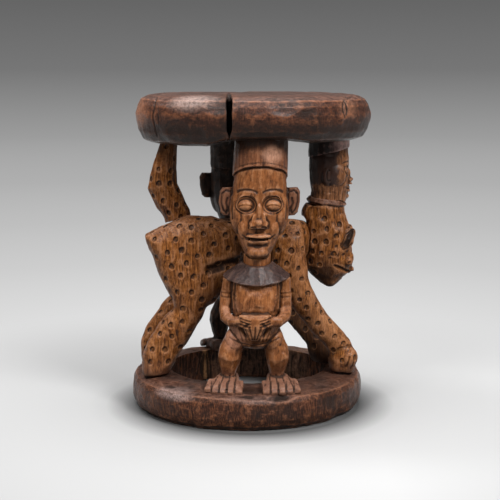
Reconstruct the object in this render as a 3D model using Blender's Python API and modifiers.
"""A carved wooden stool of the West African kind, cut from one log.

A thick round seat stands on an open ring. Between them are a leopard, a standing figure
in front of it and one behind it, and a small head on the leopard's neck. The leopard's
tail, the two caps and the small head's cap carry the seat.

Metres, +Z up, origin on the floor under the middle. The front figure faces -Y and the
leopard faces +X. Each carved member is a solid of its own, GAP clear of its neighbours.
"""

import math

import bmesh
import bpy
from mathutils import Matrix, Vector

# Overall sizes
STOOL_HEIGHT = 0.400
GAP = 0.0003
CLEARANCE = 1.3 * GAP
OVERRUN = 0.004
SCREW_MERGE = 0.00005

# Seat
SEAT_RADIUS = 0.150
SEAT_THICKNESS = 0.053
SEAT_ROLL = 0.034
SEAT_SHIFT = 0.004
CRACK_WIDTH = 0.0045
CRACK_DEPTH = 0.062
CRACK_LEFT = 0.024

# Base ring
BASE_RADIUS = 0.150
BASE_HEIGHT = 0.044
BASE_ROLL = 0.018
BASE_SHIFT = 0.004
WALL_BESIDE_HOLE = 0.048
WALL_BEFORE_HOLE = 0.067
WALL_BEHIND_HOLE = 0.043

# Standing figures: where their feet stand, in from the ring's edge, and how far each leans to its own left
FRONT_FIGURE_RIGHT = 0.003
FRONT_FIGURE_INSET = 0.052
REAR_FIGURE_LEFT = 0.012
REAR_FIGURE_INSET = 0.048
FIGURE_LEAN = 0.011

FOOT_LENGTH = 0.052
FOOT_WIDTH = 0.048
FOOT_HEIGHT = 0.017
FOOT_FORWARD = 0.007
FEET_SPREAD = 0.056
FOOT_SPLAY = math.radians(9)
TOE_SLOT_WIDTH = 0.0018
TOE_SLOT_LENGTH = 0.018
TOES = 5

LEG_WIDTH = 0.029
LEG_DEPTH = 0.033
KNEE_RISE = 0.038
KNEE_FORWARD = 0.003
ANKLE_SPREAD = 0.059
HIP_SPREAD = 0.038

LOINCLOTH_RISE = 0.050
LOINCLOTH_WIDTH = 0.066
LOINCLOTH_DEPTH = 0.058
LOINCLOTH_HEIGHT = 0.038

TORSO_WIDTH = 0.058
TORSO_DEPTH = 0.056
TORSO_HEIGHT = 0.055

ARM_THICKNESS = 0.0160
SHOULDER_OUT = 0.0340
ELBOW_OUT = 0.0365
ELBOW_RISE = 0.010
WRIST_OUT = 0.015
ARM_FORWARD = 0.0315

HANDS_WIDTH = 0.040
HANDS_DEPTH = 0.019
HANDS_HEIGHT = 0.032

COLLAR_WIDTH = 0.084
COLLAR_DEPTH = 0.068
COLLAR_HEIGHT = 0.020
COLLAR_DROP = 0.007
COLLAR_TILT = math.radians(13)

NECK_WIDTH = 0.034
NECK_HEIGHT = 0.018

HEAD_WIDTH = 0.066
HEAD_DEPTH = 0.060
HEAD_HEIGHT = 0.112
EAR_WIDTH = 0.022
EAR_THICKNESS = 0.012
EAR_HEIGHT = 0.034

CAP_RADIUS = 0.0325
CAP_HEIGHT = 0.0374
CAP_LAP = 0.008
CAP_LIP = 0.0012

# Leopard
LEOPARD_LENGTH = 0.208
LEOPARD_HEIGHT = 0.064
LEOPARD_WIDTH = 0.092
LEOPARD_BACK_RISE = 0.202
LEOPARD_RUMP_LEFT = 0.131

THIGH_WIDTH = 0.096
HIND_LEG_THICKNESS = 0.044
HIND_LEG_OUT = 0.0425
HIND_LEG_LEFT = 0.076
HIND_PAW_INSET = 0.029
HIND_PAW_OUT = 0.040
FAR_HIND_LEG_SHIFT = 0.009

SHOULDER_WIDTH = 0.046
FORE_LEG_THICKNESS = 0.036
FORE_LEG_OUT = 0.042
FORE_LEG_RIGHT = 0.046
FORE_PAW_INSET = 0.031
FORE_PAW_OUT = 0.026
FAR_FORE_PAW_SHIFT = 0.008
FAR_FORE_LEG_BOW = 0.026

TAIL_WIDTH = 0.041
TAIL_THICKNESS = 0.034
TAIL_ROOT_LEFT = 0.094
TAIL_TOP_LEFT = 0.103
TAIL_BEND = 0.013

LEOPARD_HEAD_LENGTH = 0.096
LEOPARD_HEAD_DEPTH = 0.066
LEOPARD_HEAD_WIDTH = 0.062
LEOPARD_HEAD_RIGHT = 0.099
LEOPARD_EAR_LENGTH = 0.026
LEOPARD_EAR_WIDTH = 0.017
LEOPARD_EAR_THICKNESS = 0.010
LEOPARD_EAR_LEAN = math.radians(32)
LEOPARD_NECK_HEIGHT = 0.038
LEOPARD_NECK_DEPTH = 0.056
LEOPARD_NECK_WIDTH = 0.054
LEOPARD_NECK_RIGHT = 0.094

# Small head on the leopard's neck
SIDE_COLLAR_RISE = 0.016
SIDE_COLLAR_DEPTH = 0.062
SIDE_COLLAR_WIDTH = 0.062
SIDE_COLLAR_THICKNESS = 0.009
SIDE_COLLAR_TILT = math.radians(6)
SIDE_HEAD_RIGHT = 0.101
SIDE_HEAD_WIDTH = 0.050
SIDE_HEAD_DEPTH = 0.052
SIDE_HEAD_HEIGHT = 0.066
SIDE_CAP_RADIUS = 0.027
SIDE_CAP_LAP = 0.004
SIDE_CAP_LIP = 0.0006

ROUND_SIDES = 48
BODY_SIDES = 16
LIMB_SIDES = 12
EYE_SIDES = 10
UNIT_RADIUS = 0.5

SEAT_UNDERSIDE = STOOL_HEIGHT - SEAT_THICKNESS
# The carving between ring and seat is drawn as high as a figure is, then stretched to meet the seat
CARVING_HEIGHT = (
    LOINCLOTH_RISE + LOINCLOTH_HEIGHT + TORSO_HEIGHT + NECK_HEIGHT + HEAD_HEIGHT + 2 * GAP
    - CAP_LAP + CAP_HEIGHT
)
CARVING_TOP = BASE_HEIGHT + CARVING_HEIGHT
LEOPARD_BACK = BASE_HEIGHT + LEOPARD_BACK_RISE
SIDE_COLLAR_MIDDLE = LEOPARD_BACK + SIDE_COLLAR_RISE

# Seat edge: in from the rim by SEAT_ROLL, down from the top by SEAT_THICKNESS
SEAT_EDGE_SHARES = [
    (0.90, 0.0), (0.50, 0.03), (0.20, 0.12), (0.05, 0.26), (0.0, 0.44),
    (0.01, 0.62), (0.08, 0.79), (0.25, 0.93), (0.58, 1.0),
]
# Ring edge: in from the rim by BASE_ROLL, down from the top by BASE_HEIGHT
BASE_EDGE_SHARES = [
    (1.0, 0.0), (0.24, 0.08), (0.06, 0.23), (0.0, 0.42), (0.0, 0.68), (0.10, 0.86), (0.38, 1.0),
]
# Upright forms: rows of height, width and depth, and how far forward
LOINCLOTH_SHARES = [
    (0.0, 0.46, 0.42, 0.0), (0.12, 0.66, 0.66, 0.0), (0.38, 0.86, 0.90, 0.0),
    (0.72, 1.0, 1.0, 0.0), (1.0, 0.97, 0.97, 0.0),
]
TORSO_SHARES = [
    (0.0, 0.88, 0.92, 0.02), (0.22, 0.98, 1.0, 0.03), (0.50, 1.0, 0.97, 0.02),
    (0.80, 1.0, 0.84, 0.0), (0.93, 0.88, 0.66, 0.0), (1.0, 0.66, 0.52, 0.0),
]
NECK_SHARES = [(0.0, 1.12, 1.12, 0.0), (0.35, 0.98, 0.98, 0.0), (1.0, 1.0, 1.0, 0.0)]
HEAD_SHARES = [
    (0.0, 0.30, 0.40, 0.16), (0.05, 0.48, 0.60, 0.12), (0.14, 0.66, 0.79, 0.06),
    (0.24, 0.79, 0.90, 0.02), (0.40, 0.92, 0.96, 0.0), (0.58, 1.0, 1.0, 0.0),
    (0.78, 0.99, 0.99, 0.0), (0.93, 0.93, 0.94, 0.0), (1.0, 0.86, 0.87, 0.0),
]
SIDE_HEAD_SHARES = [
    (0.0, 0.88, 0.86, 0.0), (0.18, 0.86, 0.90, 0.02), (0.36, 0.94, 0.98, 0.02),
    (0.60, 1.0, 1.0, 0.0), (0.85, 0.99, 0.99, 0.0), (1.0, 0.90, 0.92, 0.0),
]
EAR_SHARES = [
    (0.0, 0.42, 0.60, 0.0), (0.12, 0.80, 0.95, 0.0), (0.50, 1.0, 1.0, 0.0),
    (0.85, 0.94, 0.95, 0.0), (1.0, 0.60, 0.70, 0.0),
]
HANDS_SHARES = [
    (0.0, 0.24, 0.36, -0.10), (0.10, 0.38, 0.64, -0.05), (0.50, 0.74, 0.95, 0.0),
    (0.85, 1.0, 1.0, 0.0), (1.0, 0.92, 0.80, 0.0),
]
COLLAR_SHARES = [
    (0.0, 0.96, 0.96, 0.0), (0.12, 1.0, 1.0, 0.0), (0.45, 0.80, 0.82, 0.0), (1.0, 0.46, 0.56, 0.0),
]
SIDE_COLLAR_SHARES = [(0.0, 0.90, 0.90, 0.0), (0.45, 1.0, 1.0, 0.0), (1.0, 0.88, 0.88, 0.0)]
LEOPARD_HEAD_SHARES = [
    (0.0, 0.30, 0.16, 0.06), (0.04, 0.46, 0.36, 0.05), (0.12, 0.60, 0.58, 0.04),
    (0.20, 0.76, 0.82, 0.05), (0.30, 0.90, 0.99, 0.01), (0.52, 1.0, 1.0, 0.0),
    (0.78, 0.98, 0.96, -0.01), (1.0, 0.86, 0.84, -0.06),
]
LEOPARD_EAR_SHARES = [
    (0.0, 0.40, 0.60, 0.0), (0.30, 0.95, 1.0, 0.0), (0.55, 1.0, 1.0, 0.0), (1.0, 0.12, 0.35, 0.0),
]
LEOPARD_NECK_SHARES = [(0.0, 0.92, 0.92, 0.0), (0.5, 1.0, 1.0, 0.0), (1.0, 1.0, 1.0, 0.0)]
# Foot, lying on its own heel-to-toe line: length, width, height
FOOT_SHARES = [
    (0.0, 0.38, 0.60), (0.08, 0.50, 0.92), (0.35, 0.60, 1.0),
    (0.62, 0.84, 0.80), (0.90, 1.0, 0.62), (1.0, 0.94, 0.48),
]
# Leopard's trunk from the rump: length, top and underside below the back, width
TRUNK_SHARES = [
    (0.0, 0.42, 0.70, 0.36), (0.03, 0.34, 0.82, 0.62), (0.10, 0.20, 0.96, 0.84),
    (0.22, 0.05, 1.0, 0.96), (0.36, 0.0, 1.0, 1.0), (0.60, 0.0, 0.98, 0.94),
    (0.85, 0.0, 1.0, 0.90), (0.96, 0.05, 0.94, 0.74), (1.0, 0.16, 0.80, 0.50),
]
# Leopard's legs from the ring up: height, place from paw to hip, width, thickness, tuck inwards
HIND_LEG_SHARES = [
    (-0.04, 0.0, 0.34, 0.72, 0.0), (0.05, 0.02, 0.38, 0.80, 0.0), (0.11, 0.05, 0.44, 0.86, 0.0),
    (0.18, 0.20, 0.47, 0.86, 0.0), (0.27, 0.45, 0.46, 0.84, 0.0), (0.36, 0.72, 0.44, 0.84, 0.0),
    (0.43, 0.95, 0.40, 0.84, 0.0), (0.51, 1.0, 0.50, 0.88, 0.0), (0.60, 1.0, 0.66, 0.94, 0.0),
    (0.70, 1.0, 0.83, 1.0, 0.0), (0.80, 1.03, 0.97, 1.0, 0.02), (0.90, 1.03, 1.0, 0.90, 0.10),
    (0.97, 0.98, 0.92, 0.70, 0.20), (1.01, 0.94, 0.70, 0.44, 0.30),
]
FORE_LEG_SHARES = [
    (-0.04, 0.0, 0.60, 0.86, 0.0), (0.05, 0.0, 0.76, 0.96, 0.0), (0.12, 0.0, 0.80, 1.0, 0.0),
    (0.18, 0.03, 0.68, 0.90, 0.0), (0.27, 0.22, 0.66, 0.86, 0.0), (0.36, 0.44, 0.66, 0.86, 0.0),
    (0.48, 0.66, 0.72, 0.92, 0.0), (0.62, 0.86, 0.84, 1.0, 0.0), (0.78, 0.98, 1.0, 1.0, 0.02),
    (0.90, 1.0, 1.0, 0.88, 0.14), (0.97, 1.0, 0.92, 0.68, 0.28), (1.01, 1.0, 0.74, 0.44, 0.42),
]
LEG_SHARES = [
    (0.0, 0.0, 0.62, 0.58, 0.0), (0.16, 0.0, 0.66, 0.64, 0.10), (0.34, 0.0, 0.86, 0.86, 0.6),
    (0.48, 0.0, 1.0, 1.0, 1.0), (0.64, 0.16, 1.0, 1.0, 0.8), (0.84, 0.65, 0.96, 1.0, 0.2),
    (1.0, 1.0, 0.90, 0.90, 0.0),
]
# Arm from the shoulder: height, out, forward, thickness
ARM_SHARES = [
    (1.0, 0.0, 0.0, 0.90), (0.55, 0.6, 0.0, 1.04), (0.22, 1.0, 0.10, 1.0),
    (0.04, 0.96, 0.42, 0.94), (-0.04, 0.62, 0.84, 0.88), (0.0, 0.0, 1.0, 0.74),
]
# Tail from the rump: height, bend outwards, place between root and top, width, thickness
TAIL_SHARES = [
    (-0.20, -0.3, 0.0, 0.86, 0.90), (0.0, 0.0, 0.0, 0.90, 0.92), (0.14, 0.45, 0.30, 0.96, 0.97),
    (0.34, 1.0, 0.62, 1.0, 1.0), (0.58, 0.62, 0.80, 0.78, 0.94), (0.86, 0.05, 0.96, 0.56, 0.86),
    (1.0, 0.0, 1.0, 0.54, 0.84),
]
# Face of a standing figure, as shares of the head's width, depth and height
EYE_PLACE_SHARES = (0.25, 0.40, 0.60)
EYE_SIZE_SHARES = (0.33, 0.20, 0.21)
NOSE_PLACE_SHARES = (0.0, 0.41, 0.47)
NOSE_SIZE_SHARES = (0.34, 0.34, 0.26)
NOSE_TOP_SHARE = 0.36
LIPS_PLACE_SHARES = (0.0, 0.37, 0.225)
LIPS_SIZE_SHARES = (0.44, 0.36, 0.15)
LIP_SLOT_PLACE_SHARES = (0.0, 0.55, 0.225)
LIP_SLOT_SIZE_SHARES = (0.36, 0.36, 0.030)
EAR_UP_SHARE = 0.60
# Leopard's face
NECK_ON_HEAD_SHARE = 0.75
LIP_END_SHARE = 0.5
MOUTH_END_SHARE = 0.12
CRACK_END_SHARE = 0.2
LEOPARD_EAR_PLACE_SHARES = (0.40, 0.28, 0.53)
LEOPARD_EYE_PLACE_SHARES = (0.30, 0.40, 0.36)
LEOPARD_EYE_SIZE_SHARES = (0.26, 0.20, 0.13)
LEOPARD_LIP_PLACE_SHARES = (0.0, 0.36, 0.23)
LEOPARD_LIP_SIZE_SHARES = (0.60, 0.34, 0.11)
LEOPARD_MOUTH_PLACE_SHARES = (0.0, 0.48, 0.125)
LEOPARD_MOUTH_SIZE_SHARES = (1.2, 0.52, 0.12)

FINISHES = {
    "seat_wood": ((0.105, 0.045, 0.030), 0.42),
    "base_wood": ((0.115, 0.048, 0.030), 0.50),
    "figure_wood": ((0.300, 0.125, 0.050), 0.48),
    "collar_wood": ((0.090, 0.058, 0.050), 0.45),
    "leopard_wood": ((0.270, 0.120, 0.045), 0.55),
}
X, Y, Z = Vector((1, 0, 0)), Vector((0, 1, 0)), Vector((0, 0, 1))


def start_scene():
    """Empty scene with a collection for the stool and one for its cutters."""
    for old in list(bpy.data.objects):
        bpy.data.objects.remove(old)
    made = []
    for name in ("carved_stool", "cutters"):
        collection = bpy.data.collections.new(name)
        bpy.context.scene.collection.children.link(collection)
        made.append(collection)
    return made


STOOL, CUTTERS = start_scene()


def finish_of(slot):
    """The named wood finish as a Principled material."""
    found = bpy.data.materials.get(slot)
    if found:
        return found
    colour, roughness = FINISHES[slot]
    material = bpy.data.materials.new(slot)
    material.use_nodes = True
    shader = material.node_tree.nodes["Principled BSDF"]
    shader.inputs["Base Color"].default_value = (*colour, 1.0)
    shader.inputs["Roughness"].default_value = roughness
    shader.inputs["Metallic"].default_value = 0.0
    return material


def as_cutter(obj):
    CUTTERS.objects.link(obj)
    obj.hide_render = True
    obj.display_type = "WIRE"
    return obj


def add(name, form, slot, smooth=True):
    """The bmesh as a carved member, or with no slot as a helper among the cutters."""
    mesh = bpy.data.meshes.new(name)
    form.to_mesh(mesh)
    form.free()
    if smooth:
        mesh.shade_smooth()
    obj = bpy.data.objects.new(name, mesh)
    if not slot:
        return as_cutter(obj)
    STOOL.objects.link(obj)
    mesh.materials.append(finish_of(slot))
    return obj


def scaled(shares, size):
    """Shares of a size, side by side."""
    return Vector(share * length for share, length in zip(shares, size))


def section(centre, across, deep, width, depth, power, sides):
    """Points of one rounded-square section in the plane of two axes."""
    points = []
    for step in range(sides):
        angle = 2 * math.pi * (step + 0.5) / sides
        c, s = math.cos(angle), math.sin(angle)
        a = width / 2 * math.copysign(abs(c) ** (2 / power), c)
        b = depth / 2 * math.copysign(abs(s) ** (2 / power), s)
        points.append(centre + across * a + deep * b)
    return points


def loft(name, rings, slot, place):
    """A closed skin through unlike sections, flat at both ends."""
    form = bmesh.new()
    rows = [[form.verts.new(place @ point) for point in ring] for ring in rings]
    sides = len(rows[0])
    for low, high in zip(rows, rows[1:]):
        for i in range(sides):
            j = (i + 1) % sides
            form.faces.new((low[i], low[j], high[j], high[i]))
    form.faces.new(reversed(rows[0]))
    form.faces.new(rows[-1])
    bmesh.ops.recalc_face_normals(form, faces=form.faces)
    return add(name, form, slot)


def upright(name, foot, size, shares, slot, place, power=2.4, sides=BODY_SIDES):
    """A form stacked along Z from its foot, facing -Y."""
    rings = [
        section(
            foot + scaled((0, -forward, up), size), X, Y,
            wide * size.x, deep * size.y, power, sides,
        )
        for up, wide, deep, forward in shares
    ]
    return loft(name, rings, slot, place)


def limb(name, stations, slot, place, power=2.2, sides=LIMB_SIDES):
    """A form along a bent route: rows of point, size across Y, size along Y."""
    rings = []
    last = len(stations) - 1
    facing, before = Y, None
    for i, (point, wide, thick) in enumerate(stations):
        along = (stations[min(i + 1, last)][0] - stations[max(i - 1, 0)][0]).normalized()
        if before:
            facing = before.rotation_difference(along) @ facing
        before = along
        deep = (facing - along * facing.dot(along)).normalized()
        rings.append(section(point, deep.cross(along), deep, wide, thick, power, sides))
    return loft(name, rings, slot, place)


def turned(name, outline, slot, shift):
    """A form turned about an upright axis from its outline, which runs from top to bottom."""
    form = bmesh.new()
    points = [form.verts.new((radius, 0, height)) for radius, height in outline]
    for a, b in zip(points, points[1:]):
        form.edges.new((a, b))
    obj = add(name, form, slot)
    obj.location = shift
    screw = obj.modifiers.new("turn", "SCREW")
    screw.steps = screw.render_steps = ROUND_SIDES
    screw.use_merge_vertices = True
    screw.merge_threshold = SCREW_MERGE
    screw.use_smooth_shade = True
    return obj


def block(name, centre, size, slot, place, narrow=1.0, axis=2, end=1):
    """A box whose one end is narrowed by a share."""
    form = bmesh.new()
    bmesh.ops.create_cube(form, size=1)
    for vert in form.verts:
        if vert.co[axis] * end > 0:
            for other in range(3):
                if other != axis:
                    vert.co[other] *= narrow
        vert.co = place @ (centre + scaled(vert.co, size))
    return add(name, form, slot, smooth=False)


def ball(name, centre, size, slot, place):
    """An ellipsoid of the given full sizes."""
    form = bmesh.new()
    bmesh.ops.create_uvsphere(
        form, u_segments=EYE_SIDES + 2, v_segments=EYE_SIDES - 2, radius=UNIT_RADIUS,
    )
    for vert in form.verts:
        vert.co = place @ (centre + scaled(vert.co, size))
    return add(name, form, slot)


def boolean(piece, operation, tool):
    modifier = piece.modifiers.new(f"{operation.lower()} {tool.name}", "BOOLEAN")
    modifier.operation = operation
    modifier.solver = "EXACT"
    modifier.object = tool


def clearance_of(piece):
    """A cutter that stands just outside the piece's whole form."""
    found = bpy.data.objects.get(f"{piece.name}_clearance")
    if found:
        return found
    cutter = piece.copy()
    cutter.name = f"{piece.name}_clearance"
    for modifier in list(cutter.modifiers):
        if modifier.type == "BOOLEAN" and modifier.operation == "DIFFERENCE":
            cutter.modifiers.remove(modifier)
    swell = cutter.modifiers.new("swell", "DISPLACE")
    swell.strength = CLEARANCE
    swell.mid_level = 0
    return as_cutter(cutter)


def seat_on(piece, *neighbours):
    """Cuts the piece back to GAP clear of each neighbour that it grows out of."""
    for neighbour in neighbours:
        boolean(piece, "DIFFERENCE", clearance_of(neighbour))


def make_seat():
    rim = [
        (SEAT_RADIUS - inward * SEAT_ROLL, STOOL_HEIGHT - down * SEAT_THICKNESS)
        for inward, down in SEAT_EDGE_SHARES
    ]
    outline = [(0, STOOL_HEIGHT), *rim, (0, SEAT_UNDERSIDE)]
    seat = turned("seat_slab", outline, "seat_wood", Vector((SEAT_SHIFT, 0, 0)))
    middle = Vector((-CRACK_LEFT, CRACK_DEPTH / 2 - SEAT_RADIUS, STOOL_HEIGHT - SEAT_THICKNESS / 2))
    size = Vector((CRACK_WIDTH, CRACK_DEPTH, SEAT_THICKNESS + 2 * OVERRUN))
    crack = block("seat_crack", middle, size, None, Matrix(), CRACK_END_SHARE, 1)
    boolean(seat, "DIFFERENCE", crack)
    return seat


def make_base():
    rim = [
        (BASE_RADIUS - inward * BASE_ROLL, BASE_HEIGHT - down * BASE_HEIGHT)
        for inward, down in BASE_EDGE_SHARES
    ]
    outline = [(0, BASE_HEIGHT), *rim, (0, 0)]
    base = turned("base_ring", outline, "base_wood", Vector((-BASE_SHIFT, 0, 0)))
    form = bmesh.new()
    bmesh.ops.create_cone(
        form, cap_ends=True, segments=ROUND_SIDES, radius1=UNIT_RADIUS, radius2=UNIT_RADIUS, depth=1,
    )
    size = Vector((
        2 * (BASE_RADIUS - WALL_BESIDE_HOLE), 2 * BASE_RADIUS - WALL_BEFORE_HOLE - WALL_BEHIND_HOLE,
        BASE_HEIGHT + 2 * OVERRUN,
    ))
    middle = Vector((-BASE_SHIFT, (WALL_BEFORE_HOLE - WALL_BEHIND_HOLE) / 2, BASE_HEIGHT / 2))
    for vert in form.verts:
        vert.co = scaled(vert.co, size) + middle
    boolean(base, "DIFFERENCE", add("base_hole", form, None))
    return base


def make_head(name, foot, size, shares, place):
    """A head with carved eyes, nose and parted lips, from its foot up."""
    head = upright(name, foot, size, shares, "figure_wood", place)

    def at(place_shares, side=1):
        out, forward, up = place_shares
        return foot + scaled((side * out, -forward, up), size)

    boolean(head, "UNION", block(
        f"{name}_nose", at(NOSE_PLACE_SHARES), scaled(NOSE_SIZE_SHARES, size), None, place, NOSE_TOP_SHARE,
    ))
    boolean(head, "UNION", ball(
        f"{name}_lips", at(LIPS_PLACE_SHARES), scaled(LIPS_SIZE_SHARES, size), None, place,
    ))
    for side, label in ((-1, "right"), (1, "left")):
        boolean(head, "UNION", ball(
            f"{name}_eye_{label}", at(EYE_PLACE_SHARES, side), scaled(EYE_SIZE_SHARES, size), None, place,
        ))
    boolean(head, "DIFFERENCE", block(
        f"{name}_lip_slot", at(LIP_SLOT_PLACE_SHARES), scaled(LIP_SLOT_SIZE_SHARES, size), None, place,
    ))
    return head


def make_cap(name, foot, radius, lip, head, seat, place):
    """A brimless cap from its lipped edge up into the seat's rolled underside."""
    height = CARVING_TOP - foot.z + OVERRUN + SEAT_THICKNESS / 2
    size = Vector((2 * radius, 2 * radius, height))
    lip_share, bevel_share = 1 - lip / radius, lip / height
    shares = [
        (0.0, lip_share, lip_share, 0.0), (bevel_share, 1.0, 1.0, 0.0),
        (4 * bevel_share, 1.0, 1.0, 0.0), (5 * bevel_share, lip_share, lip_share, 0.0),
        (1.0, lip_share, lip_share, 0.0),
    ]
    cap = upright(name, foot, size, shares, "figure_wood", place, 2.0, BODY_SIDES + 4)
    seat_on(cap, head, seat)
    return cap


def make_foot(name, side, base, place):
    """A flat foot with slots between its toes."""
    heel = Vector((side * FEET_SPREAD / 2, FOOT_LENGTH / 2 - FOOT_FORWARD, BASE_HEIGHT - OVERRUN))
    turn = place @ Matrix.Translation(heel) @ Matrix.Rotation(side * FOOT_SPLAY, 4, "Z")
    size = Vector((FOOT_WIDTH, FOOT_LENGTH, FOOT_HEIGHT + OVERRUN))
    rings = [
        section(
            scaled((0, -along, high / 2), size), X, Z, wide * size.x, high * size.z, 3.0, LIMB_SIDES,
        )
        for along, wide, high in FOOT_SHARES
    ]
    foot = loft(name, rings, "figure_wood", turn)
    pitch = FOOT_WIDTH / TOES
    slot = Vector((TOE_SLOT_WIDTH, 2 * TOE_SLOT_LENGTH, 2 * (FOOT_HEIGHT - TOE_SLOT_WIDTH)))
    for i in range(1, TOES):
        centre = Vector((i * pitch - FOOT_WIDTH / 2, -FOOT_LENGTH, size.z))
        boolean(foot, "DIFFERENCE", block(f"{name}_slot_{i}", centre, slot, None, turn))
    seat_on(foot, base)
    return foot


def make_leg(name, side, foot, loincloth, place):
    """Shin, knee and thigh in one bent form."""
    ankle = Vector((side * ANKLE_SPREAD / 2, 0, BASE_HEIGHT + FOOT_HEIGHT / 2))
    hip = Vector((side * HIP_SPREAD / 2, 0, BASE_HEIGHT + LOINCLOTH_RISE + LOINCLOTH_HEIGHT / 2))
    stations = []
    for up, inward, wide, deep, forward in LEG_SHARES:
        point = Vector((
            ankle.x + inward * (hip.x - ankle.x), -forward * KNEE_FORWARD, ankle.z + up * (hip.z - ankle.z),
        ))
        stations.append((point, wide * LEG_WIDTH, deep * LEG_DEPTH))
    leg = limb(name, stations, "figure_wood", place)
    seat_on(leg, foot, loincloth)
    return leg


def make_arm(name, side, shoulder_z, wrist_z, grown_from, place):
    """Upper arm down to the elbow, then the forearm forward and in across the belly."""
    stations = []
    for up, out, forward, thick in ARM_SHARES:
        near, far = (SHOULDER_OUT, ELBOW_OUT) if forward < ARM_SHARES[2][2] else (WRIST_OUT, ELBOW_OUT)
        point = Vector((
            side * (near + out * (far - near)), -forward * ARM_FORWARD, wrist_z + up * (shoulder_z - wrist_z),
        ))
        stations.append((point, thick * ARM_THICKNESS, thick * ARM_THICKNESS))
    arm = limb(name, stations, "figure_wood", place)
    seat_on(arm, *grown_from)
    return arm


def make_figure(prefix, place, base, seat):
    """One standing figure, from its feet on the ring to its cap under the seat."""
    loin_z = BASE_HEIGHT + LOINCLOTH_RISE
    torso_z = loin_z + LOINCLOTH_HEIGHT + GAP
    neck_z = torso_z + TORSO_HEIGHT + GAP
    chin_z = neck_z + NECK_HEIGHT
    sides = ((-1, "right"), (1, "left"))

    loincloth = upright(
        f"{prefix}_loincloth", loin_z * Z, Vector((LOINCLOTH_WIDTH, LOINCLOTH_DEPTH, LOINCLOTH_HEIGHT)),
        LOINCLOTH_SHARES, "figure_wood", place,
    )
    torso = upright(
        f"{prefix}_torso", torso_z * Z, Vector((TORSO_WIDTH, TORSO_DEPTH, TORSO_HEIGHT)),
        TORSO_SHARES, "figure_wood", place, 3.0,
    )
    for side, label in sides:
        foot = make_foot(f"{prefix}_foot_{label}", side, base, place)
        make_leg(f"{prefix}_leg_{label}", side, foot, loincloth, place)
    hands = upright(
        f"{prefix}_hands", Vector((0, -ARM_FORWARD, torso_z + ARM_THICKNESS / 2 - HANDS_HEIGHT)),
        Vector((HANDS_WIDTH, HANDS_DEPTH, HANDS_HEIGHT)), HANDS_SHARES, "figure_wood", place, 2.4, LIMB_SIDES,
    )
    seat_on(hands, torso, loincloth)
    shoulder_z = neck_z - ARM_THICKNESS / 2
    arms = [
        make_arm(f"{prefix}_arm_{label}", side, shoulder_z, torso_z, (torso, loincloth, hands), place)
        for side, label in sides
    ]

    head = make_head(
        f"{prefix}_head", chin_z * Z, Vector((HEAD_WIDTH, HEAD_DEPTH, HEAD_HEIGHT)), HEAD_SHARES, place,
    )
    neck = upright(
        f"{prefix}_neck", neck_z * Z, Vector((NECK_WIDTH, NECK_WIDTH, NECK_HEIGHT + OVERRUN)),
        NECK_SHARES, "figure_wood", place, 2.0,
    )
    seat_on(neck, head)
    tilt = place @ Matrix.Translation((neck_z - COLLAR_DROP) * Z) @ Matrix.Rotation(COLLAR_TILT, 4, "X")
    collar = upright(
        f"{prefix}_collar", Vector(), Vector((COLLAR_WIDTH, COLLAR_DEPTH, COLLAR_HEIGHT)),
        COLLAR_SHARES, "collar_wood", tilt, 1.6, BODY_SIDES + 4,
    )
    seat_on(collar, torso, neck, *arms)
    for side, label in sides:
        ear_foot = Vector((
            side * (HEAD_WIDTH + EAR_WIDTH / 2) / 2, 0, chin_z + EAR_UP_SHARE * HEAD_HEIGHT - EAR_HEIGHT / 2,
        ))
        ear = upright(
            f"{prefix}_ear_{label}", ear_foot, Vector((EAR_WIDTH, EAR_THICKNESS, EAR_HEIGHT)),
            EAR_SHARES, "figure_wood", place, 2.4, LIMB_SIDES,
        )
        seat_on(ear, head)
    make_cap(f"{prefix}_cap", (chin_z + HEAD_HEIGHT - CAP_LAP) * Z, CAP_RADIUS, CAP_LIP, head, seat, place)


def leopard_leg(name, shares, paw, hip, width, thickness, bow, stretch, trunk, base):
    """A leg from its paw on the ring to its hip in the trunk's side, bowed back by bow."""
    stations = []
    for up, to_hip, wide, thick, tuck in shares:
        point = paw + Vector((to_hip * (hip.x - paw.x), to_hip * (hip.y - paw.y), up * (hip.z - paw.z)))
        point.x -= bow * math.sqrt(max(0, up * (1 - up))) * 2
        point.y -= math.copysign(tuck * thickness, point.y)
        stations.append((point, wide * width, thick * thickness))
    leg = limb(name, stations, "leopard_wood", stretch, 2.6)
    seat_on(leg, trunk, base)


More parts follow.
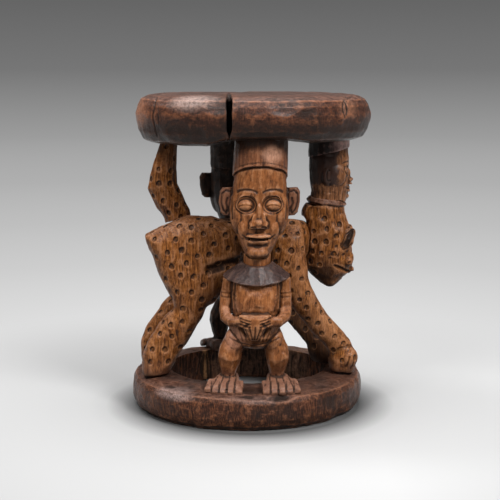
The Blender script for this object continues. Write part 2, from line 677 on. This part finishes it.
def make_leopard(stretch, base, seat, collar):
    """The leopard on the ring: trunk, four legs, tail, neck and bowed head."""
    rump = Vector((-LEOPARD_RUMP_LEFT, 0, LEOPARD_BACK))
    rings = [
        section(
            rump + Vector((along * LEOPARD_LENGTH, 0, -(top + bottom) / 2 * LEOPARD_HEIGHT)), Y, Z,
            wide * LEOPARD_WIDTH, (bottom - top) * LEOPARD_HEIGHT, 2.8, BODY_SIDES,
        )
        for along, top, bottom, wide in TRUNK_SHARES
    ]
    trunk = loft("leopard_trunk", rings, "leopard_wood", stretch)

    ground = BASE_HEIGHT - OVERRUN
    hip_z = LEOPARD_BACK - LEOPARD_HEIGHT / 8
    hind_paw, fore_paw = BASE_RADIUS - HIND_PAW_INSET, BASE_RADIUS - FORE_PAW_INSET
    for side, far, label in ((-1, 0, "right"), (1, 1, "left")):
        leopard_leg(
            f"leopard_hind_leg_{label}", HIND_LEG_SHARES,
            Vector((-hind_paw - far * FAR_HIND_LEG_SHIFT, side * HIND_PAW_OUT, ground)),
            Vector((-HIND_LEG_LEFT - far * FAR_HIND_LEG_SHIFT, side * HIND_LEG_OUT, hip_z)),
            THIGH_WIDTH, HIND_LEG_THICKNESS, 0, stretch, trunk, base,
        )
        leopard_leg(
            f"leopard_fore_leg_{label}", FORE_LEG_SHARES,
            Vector((fore_paw - far * FAR_FORE_PAW_SHIFT, side * FORE_PAW_OUT, ground)),
            Vector((FORE_LEG_RIGHT, side * FORE_LEG_OUT, hip_z)),
            SHOULDER_WIDTH, FORE_LEG_THICKNESS, far * FAR_FORE_LEG_BOW, stretch, trunk, base,
        )

    rise = CARVING_TOP + OVERRUN - LEOPARD_BACK
    stations = [
        (
            Vector((
                -TAIL_ROOT_LEFT - to_top * (TAIL_TOP_LEFT - TAIL_ROOT_LEFT) - bend * TAIL_BEND,
                0, LEOPARD_BACK + up * rise,
            )),
            wide * TAIL_WIDTH, thick * TAIL_THICKNESS,
        )
        for up, bend, to_top, wide, thick in TAIL_SHARES
    ]
    tail = limb("leopard_tail", stations, "leopard_wood", stretch, 1.9)
    seat_on(tail, trunk, seat)

    # An upright form faces -Y, so the leopard's head and neck are turned to face +X
    ahead = stretch @ Matrix.Rotation(math.pi / 2, 4, "Z")
    size = Vector((LEOPARD_HEAD_WIDTH, LEOPARD_HEAD_DEPTH, LEOPARD_HEAD_LENGTH))
    neck_z = SIDE_COLLAR_MIDDLE - LEOPARD_NECK_HEIGHT
    chin = Vector((0, -LEOPARD_HEAD_RIGHT, neck_z - NECK_ON_HEAD_SHARE * LEOPARD_HEAD_LENGTH))
    head = upright("leopard_head", chin, size, LEOPARD_HEAD_SHARES, "leopard_wood", ahead, 2.6)

    def at(place_shares, side=1):
        out, forward, up = place_shares
        return chin + scaled((side * out, -forward, up), size)

    boolean(head, "UNION", block(
        "leopard_lip", at(LEOPARD_LIP_PLACE_SHARES), scaled(LEOPARD_LIP_SIZE_SHARES, size), None, ahead,
        LIP_END_SHARE, 1, -1,
    ))
    for side, label in ((-1, "right"), (1, "left")):
        ear_foot = ahead @ Matrix.Translation(at(LEOPARD_EAR_PLACE_SHARES, side))
        ear = upright(
            f"leopard_ear_{label}", Vector(),
            Vector((LEOPARD_EAR_THICKNESS, LEOPARD_EAR_WIDTH, LEOPARD_EAR_LENGTH)), LEOPARD_EAR_SHARES,
            None, ear_foot @ Matrix.Rotation(LEOPARD_EAR_LEAN, 4, "X"), 2.0, LIMB_SIDES,
        )
        boolean(head, "UNION", ear)
        boolean(head, "UNION", ball(
            f"leopard_eye_{label}", at(LEOPARD_EYE_PLACE_SHARES, side), scaled(LEOPARD_EYE_SIZE_SHARES, size),
            None, ahead,
        ))
    boolean(head, "DIFFERENCE", block(
        "leopard_mouth", at(LEOPARD_MOUTH_PLACE_SHARES), scaled(LEOPARD_MOUTH_SIZE_SHARES, size), None, ahead,
        MOUTH_END_SHARE, 1, 1,
    ))
    seat_on(head, trunk)

    neck_size = Vector((LEOPARD_NECK_WIDTH, LEOPARD_NECK_DEPTH, LEOPARD_NECK_HEIGHT))
    neck = upright(
        "leopard_neck", Vector((0, -LEOPARD_NECK_RIGHT, neck_z)), neck_size,
        LEOPARD_NECK_SHARES, "leopard_wood", ahead, 2.4,
    )
    seat_on(neck, head, trunk, collar)


def make_side_collar(stretch):
    """The tilted collar between the leopard's neck and the small head."""
    lean = (
        stretch
        @ Matrix.Rotation(math.pi / 2, 4, "Z")
        @ Matrix.Translation((0, -LEOPARD_NECK_RIGHT, SIDE_COLLAR_MIDDLE))
        @ Matrix.Rotation(SIDE_COLLAR_TILT, 4, "X")
    )
    return upright(
        "side_collar", -SIDE_COLLAR_THICKNESS / 2 * Z,
        Vector((SIDE_COLLAR_WIDTH, SIDE_COLLAR_DEPTH, SIDE_COLLAR_THICKNESS)),
        SIDE_COLLAR_SHARES, "collar_wood", lean, 2.2,
    )


def make_side_head(stretch, collar, seat):
    """The small capped head that looks out over the leopard's head."""
    ahead = stretch @ Matrix.Rotation(math.pi / 2, 4, "Z")
    foot = Vector((0, -SIDE_HEAD_RIGHT, SIDE_COLLAR_MIDDLE))
    size = Vector((SIDE_HEAD_WIDTH, SIDE_HEAD_DEPTH, SIDE_HEAD_HEIGHT))
    head = make_head("side_head", foot, size, SIDE_HEAD_SHARES, ahead)
    seat_on(head, collar)
    cap_foot = foot + (SIDE_HEAD_HEIGHT - SIDE_CAP_LAP) * Z
    make_cap("side_cap", cap_foot, SIDE_CAP_RADIUS, SIDE_CAP_LIP, head, seat, ahead)


def stretch_to_seat():
    """Stretches the drawn carving upwards from the ring, so that its top meets the seat."""
    ring_top = Matrix.Translation(BASE_HEIGHT * Z)
    share = (SEAT_UNDERSIDE - BASE_HEIGHT) / CARVING_HEIGHT
    return ring_top @ Matrix.Diagonal((1, 1, share, 1)) @ ring_top.inverted()


def leaning(stretch, x, y, turn):
    """A figure's place: its feet at x, y, turned about Z, its head off to its own left."""
    ring_top = Matrix.Translation(BASE_HEIGHT * Z)
    shear = Matrix.Shear("XY", 4, (FIGURE_LEAN / CARVING_HEIGHT, 0))
    feet = Matrix.Translation((x, y, 0)) @ Matrix.Rotation(turn, 4, "Z")
    return stretch @ feet @ ring_top @ shear @ ring_top.inverted()


def main():
    seat = make_seat()
    base = make_base()
    stretch = stretch_to_seat()
    front = leaning(stretch, FRONT_FIGURE_RIGHT, FRONT_FIGURE_INSET - BASE_RADIUS, 0)
    make_figure("front", front, base, seat)
    rear = leaning(stretch, -REAR_FIGURE_LEFT, BASE_RADIUS - REAR_FIGURE_INSET, math.pi)
    make_figure("rear", rear, base, seat)
    collar = make_side_collar(stretch)
    make_leopard(stretch, base, seat, collar)
    make_side_head(stretch, collar, seat)


main()
